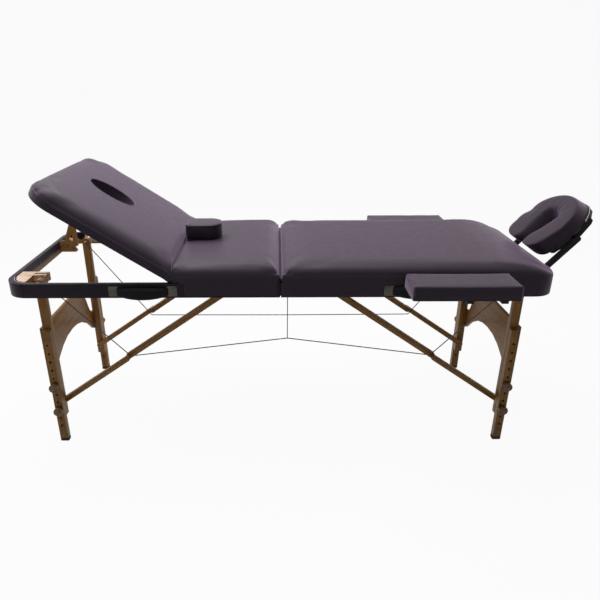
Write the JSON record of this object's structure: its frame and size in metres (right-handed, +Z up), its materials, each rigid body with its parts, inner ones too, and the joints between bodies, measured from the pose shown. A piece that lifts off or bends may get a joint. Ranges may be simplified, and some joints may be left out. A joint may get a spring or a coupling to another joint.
{
  "type": "massage table",
  "caption": "Portable folding massage table with a raised back section, padded top, adjustable wooden legs, face cradle, armrests and steel tie cables.",
  "frame": {"origin": "centre of the bounding box on the floor, under the table", "axes": "+X along the bed towards the face cradle, +Y across the bed away from the picture's camera, +Z up"},
  "size_m": [2.063, 0.944, 1.0018],
  "materials": {
    "vinyl": "dark aubergine leatherette, satin",
    "wood": "stained beech, satin lacquer",
    "plywood": "raw plywood",
    "steel": "zinc plated",
    "rubber": "matt",
    "plastic": "satin black"
  },
  "bodies": {
    "head_frame": {"head_front_rail": "vinyl", "head_rear_rail": "vinyl", "head_end_rail": "vinyl", "head_hinge_rail": "vinyl", "head_panel": "plywood", "head_cushion": "vinyl", "head_handle": "vinyl"},
    "fold_pin": {"hinge_pin": "steel", "front_cable": "steel", "rear_cable": "steel"},
    "back_frame": {"back_front_rail": "vinyl", "back_rear_rail": "vinyl", "back_end_rail": "vinyl", "back_hinge_rail": "vinyl", "seat_panel": "plywood", "seat_cushion": "vinyl", "back_handle": "vinyl"},
    "back_section": {"back_panel": "plywood", "back_cushion": "vinyl"},
    "back_prop": {"back_prop": "wood"},
    "head_legs": {"head_front_upper_leg": "wood", "head_rear_upper_leg": "wood", "head_arch_panel": "wood"},
    "head_upper_braces": {"head_front_upper_brace": "wood", "head_rear_upper_brace": "wood"},
    "head_lower_braces": {"head_front_lower_brace": "wood", "head_rear_lower_brace": "wood"},
    "head_front_lower_leg": {"head_front_lower_leg": "wood", "head_front_foot": "rubber"},
    "head_front_knob_a": {"head_front_knob_a": "plastic"},
    "head_front_knob_b": {"head_front_knob_b": "plastic"},
    "head_rear_lower_leg": {"head_rear_lower_leg": "wood", "head_rear_foot": "rubber"},
    "head_rear_knob_a": {"head_rear_knob_a": "plastic"},
    "head_rear_knob_b": {"head_rear_knob_b": "plastic"},
    "back_legs": {"back_front_upper_leg": "wood", "back_rear_upper_leg": "wood", "back_arch_panel": "wood"},
    "back_upper_braces": {"back_front_upper_brace": "wood", "back_rear_upper_brace": "wood"},
    "back_lower_braces": {"back_front_lower_brace": "wood", "back_rear_lower_brace": "wood"},
    "back_front_lower_leg": {"back_front_lower_leg": "wood", "back_front_foot": "rubber"},
    "back_front_knob_a": {"back_front_knob_a": "plastic"},
    "back_front_knob_b": {"back_front_knob_b": "plastic"},
    "back_rear_lower_leg": {"back_rear_lower_leg": "wood", "back_rear_foot": "rubber"},
    "back_rear_knob_a": {"back_rear_knob_a": "plastic"},
    "back_rear_knob_b": {"back_rear_knob_b": "plastic"},
    "cradle_base": {"cradle_base": "plastic"},
    "cradle_arms": {"cradle_arms": "plastic"},
    "cradle_head": {"cradle_platform": "plywood", "cradle_cushion": "vinyl"},
    "front_armrest": {"front_armrest_board": "plywood", "front_armrest_pad": "vinyl"},
    "rear_armrest": {"rear_armrest_board": "plywood", "rear_armrest_pad": "vinyl"},
    "bolster": {"bolster": "vinyl"}
  },
  "joints": [
    {"name": "fold_with_legs", "type": "hinge", "parent": "head_frame", "child": "fold_pin", "pos_m": [-0.1015, 0, 0.609], "axis": [0, -1, 0], "range_deg": [0, 90], "deforming": ["front_cable", "rear_cable"]},
    {"name": "fold_close", "type": "hinge", "parent": "fold_pin", "child": "back_frame", "pos_m": [-0.1015, 0, 0.609], "axis": [0, -1, 0], "range_deg": [0, 90], "deforming": ["front_cable", "rear_cable"]},
    {"name": "head_legs_fold", "type": "hinge", "parent": "head_frame", "child": "head_legs", "pos_m": [0.7285, 0, 0.64], "axis": [0, 1, 0], "range_deg": [0, 90]},
    {"name": "head_upper_brace_fold", "type": "hinge", "parent": "head_frame", "child": "head_upper_braces", "pos_m": [0.0185, 0, 0.64], "axis": [0, -1, 0], "range_deg": [0, 35.6]},
    {"name": "head_lower_brace_fold", "type": "hinge", "parent": "head_legs", "child": "head_lower_braces", "pos_m": [0.7285, 0, 0.15], "axis": [0, 1, 0], "range_deg": [0, 55.39]},
    {"name": "head_front_height", "type": "slide", "parent": "head_legs", "child": "head_front_lower_leg", "axis": [0, 0, -1], "range_m": [-0.068, 0.102]},
    {"name": "head_front_knob_a_turn", "type": "hinge", "parent": "head_front_lower_leg", "child": "head_front_knob_a", "pos_m": [0.7285, -0.283, 0.243], "axis": [0, -1, 0], "continuous": true},
    {"name": "head_front_knob_b_turn", "type": "hinge", "parent": "head_front_lower_leg", "child": "head_front_knob_b", "pos_m": [0.7285, -0.283, 0.141], "axis": [0, -1, 0], "continuous": true},
    {"name": "head_rear_height", "type": "slide", "parent": "head_legs", "child": "head_rear_lower_leg", "axis": [0, 0, -1], "range_m": [-0.068, 0.102]},
    {"name": "head_rear_knob_a_turn", "type": "hinge", "parent": "head_rear_lower_leg", "child": "head_rear_knob_a", "pos_m": [0.7285, 0.283, 0.243], "axis": [0, 1, 0], "continuous": true},
    {"name": "head_rear_knob_b_turn", "type": "hinge", "parent": "head_rear_lower_leg", "child": "head_rear_knob_b", "pos_m": [0.7285, 0.283, 0.141], "axis": [0, 1, 0], "continuous": true},
    {"name": "back_legs_fold", "type": "hinge", "parent": "back_frame", "child": "back_legs", "pos_m": [-0.9315, 0, 0.64], "axis": [0, -1, 0], "range_deg": [0, 90]},
    {"name": "back_upper_brace_fold", "type": "hinge", "parent": "back_frame", "child": "back_upper_braces", "pos_m": [-0.2215, 0, 0.64], "axis": [0, 1, 0], "range_deg": [0, 35.6]},
    {"name": "back_lower_brace_fold", "type": "hinge", "parent": "back_legs", "child": "back_lower_braces", "pos_m": [-0.9315, 0, 0.15], "axis": [0, -1, 0], "range_deg": [0, 55.39]},
    {"name": "back_front_height", "type": "slide", "parent": "back_legs", "child": "back_front_lower_leg", "axis": [0, 0, -1], "range_m": [-0.068, 0.102]},
    {"name": "back_front_knob_a_turn", "type": "hinge", "parent": "back_front_lower_leg", "child": "back_front_knob_a", "pos_m": [-0.9315, -0.283, 0.243], "axis": [0, -1, 0], "continuous": true},
    {"name": "back_front_knob_b_turn", "type": "hinge", "parent": "back_front_lower_leg", "child": "back_front_knob_b", "pos_m": [-0.9315, -0.283, 0.141], "axis": [0, -1, 0], "continuous": true},
    {"name": "back_rear_height", "type": "slide", "parent": "back_legs", "child": "back_rear_lower_leg", "axis": [0, 0, -1], "range_m": [-0.068, 0.102]},
    {"name": "back_rear_knob_a_turn", "type": "hinge", "parent": "back_rear_lower_leg", "child": "back_rear_knob_a", "pos_m": [-0.9315, 0.283, 0.243], "axis": [0, 1, 0], "continuous": true},
    {"name": "back_rear_knob_b_turn", "type": "hinge", "parent": "back_rear_lower_leg", "child": "back_rear_knob_b", "pos_m": [-0.9315, 0.283, 0.141], "axis": [0, 1, 0], "continuous": true},
    {"name": "back_recline", "type": "hinge", "parent": "back_frame", "child": "back_section", "pos_m": [-0.4665, 0, 0.652], "axis": [0, 1, 0], "range_deg": [-33, 0]},
    {"name": "prop_fold", "type": "hinge", "parent": "back_section", "child": "back_prop", "pos_m": [-0.91296, 0.159, 0.91928], "axis": [0, 1, 0], "range_deg": [-67.71, 0]},
    {"name": "cradle_pull_out", "type": "slide", "parent": "head_frame", "child": "cradle_base", "axis": [1, 0, 0], "range_m": [0, 0.08]},
    {"name": "cradle_arm_tilt", "type": "hinge", "parent": "cradle_base", "child": "cradle_arms", "pos_m": [0.8475, 0, 0.637], "axis": [0, 1, 0], "range_deg": [0, 30]},
    {"name": "cradle_plate_tilt", "type": "hinge", "parent": "cradle_arms", "child": "cradle_head", "pos_m": [0.9545, 0, 0.759], "axis": [0, 1, 0], "range_deg": [0, 20]},
    {"name": "front_armrest_pull_out", "type": "slide", "parent": "head_frame", "child": "front_armrest", "axis": [0, -1, 0], "range_m": [0, 0.05]},
    {"name": "rear_armrest_pull_out", "type": "slide", "parent": "head_frame", "child": "rear_armrest", "axis": [0, 1, 0], "range_m": [0, 0.05]},
    {"name": "bolster_lift_off", "type": "slide", "parent": "back_frame", "child": "bolster", "axis": [0, 0, 1], "range_m": [0, 0.12]}
  ],
  "couplings": [
    {"joint": "head_legs_fold", "follows": "fold_with_legs", "ratio": 1},
    {"joint": "head_upper_brace_fold", "follows": "fold_with_legs", "ratio": 0.39556},
    {"joint": "head_lower_brace_fold", "follows": "fold_with_legs", "ratio": 0.61543},
    {"joint": "back_legs_fold", "follows": "fold_with_legs", "ratio": 1},
    {"joint": "back_upper_brace_fold", "follows": "fold_with_legs", "ratio": 0.39556},
    {"joint": "back_lower_brace_fold", "follows": "fold_with_legs", "ratio": 0.61543},
    {"joint": "prop_fold", "follows": "back_recline", "ratio": 2.0518}
  ]
}
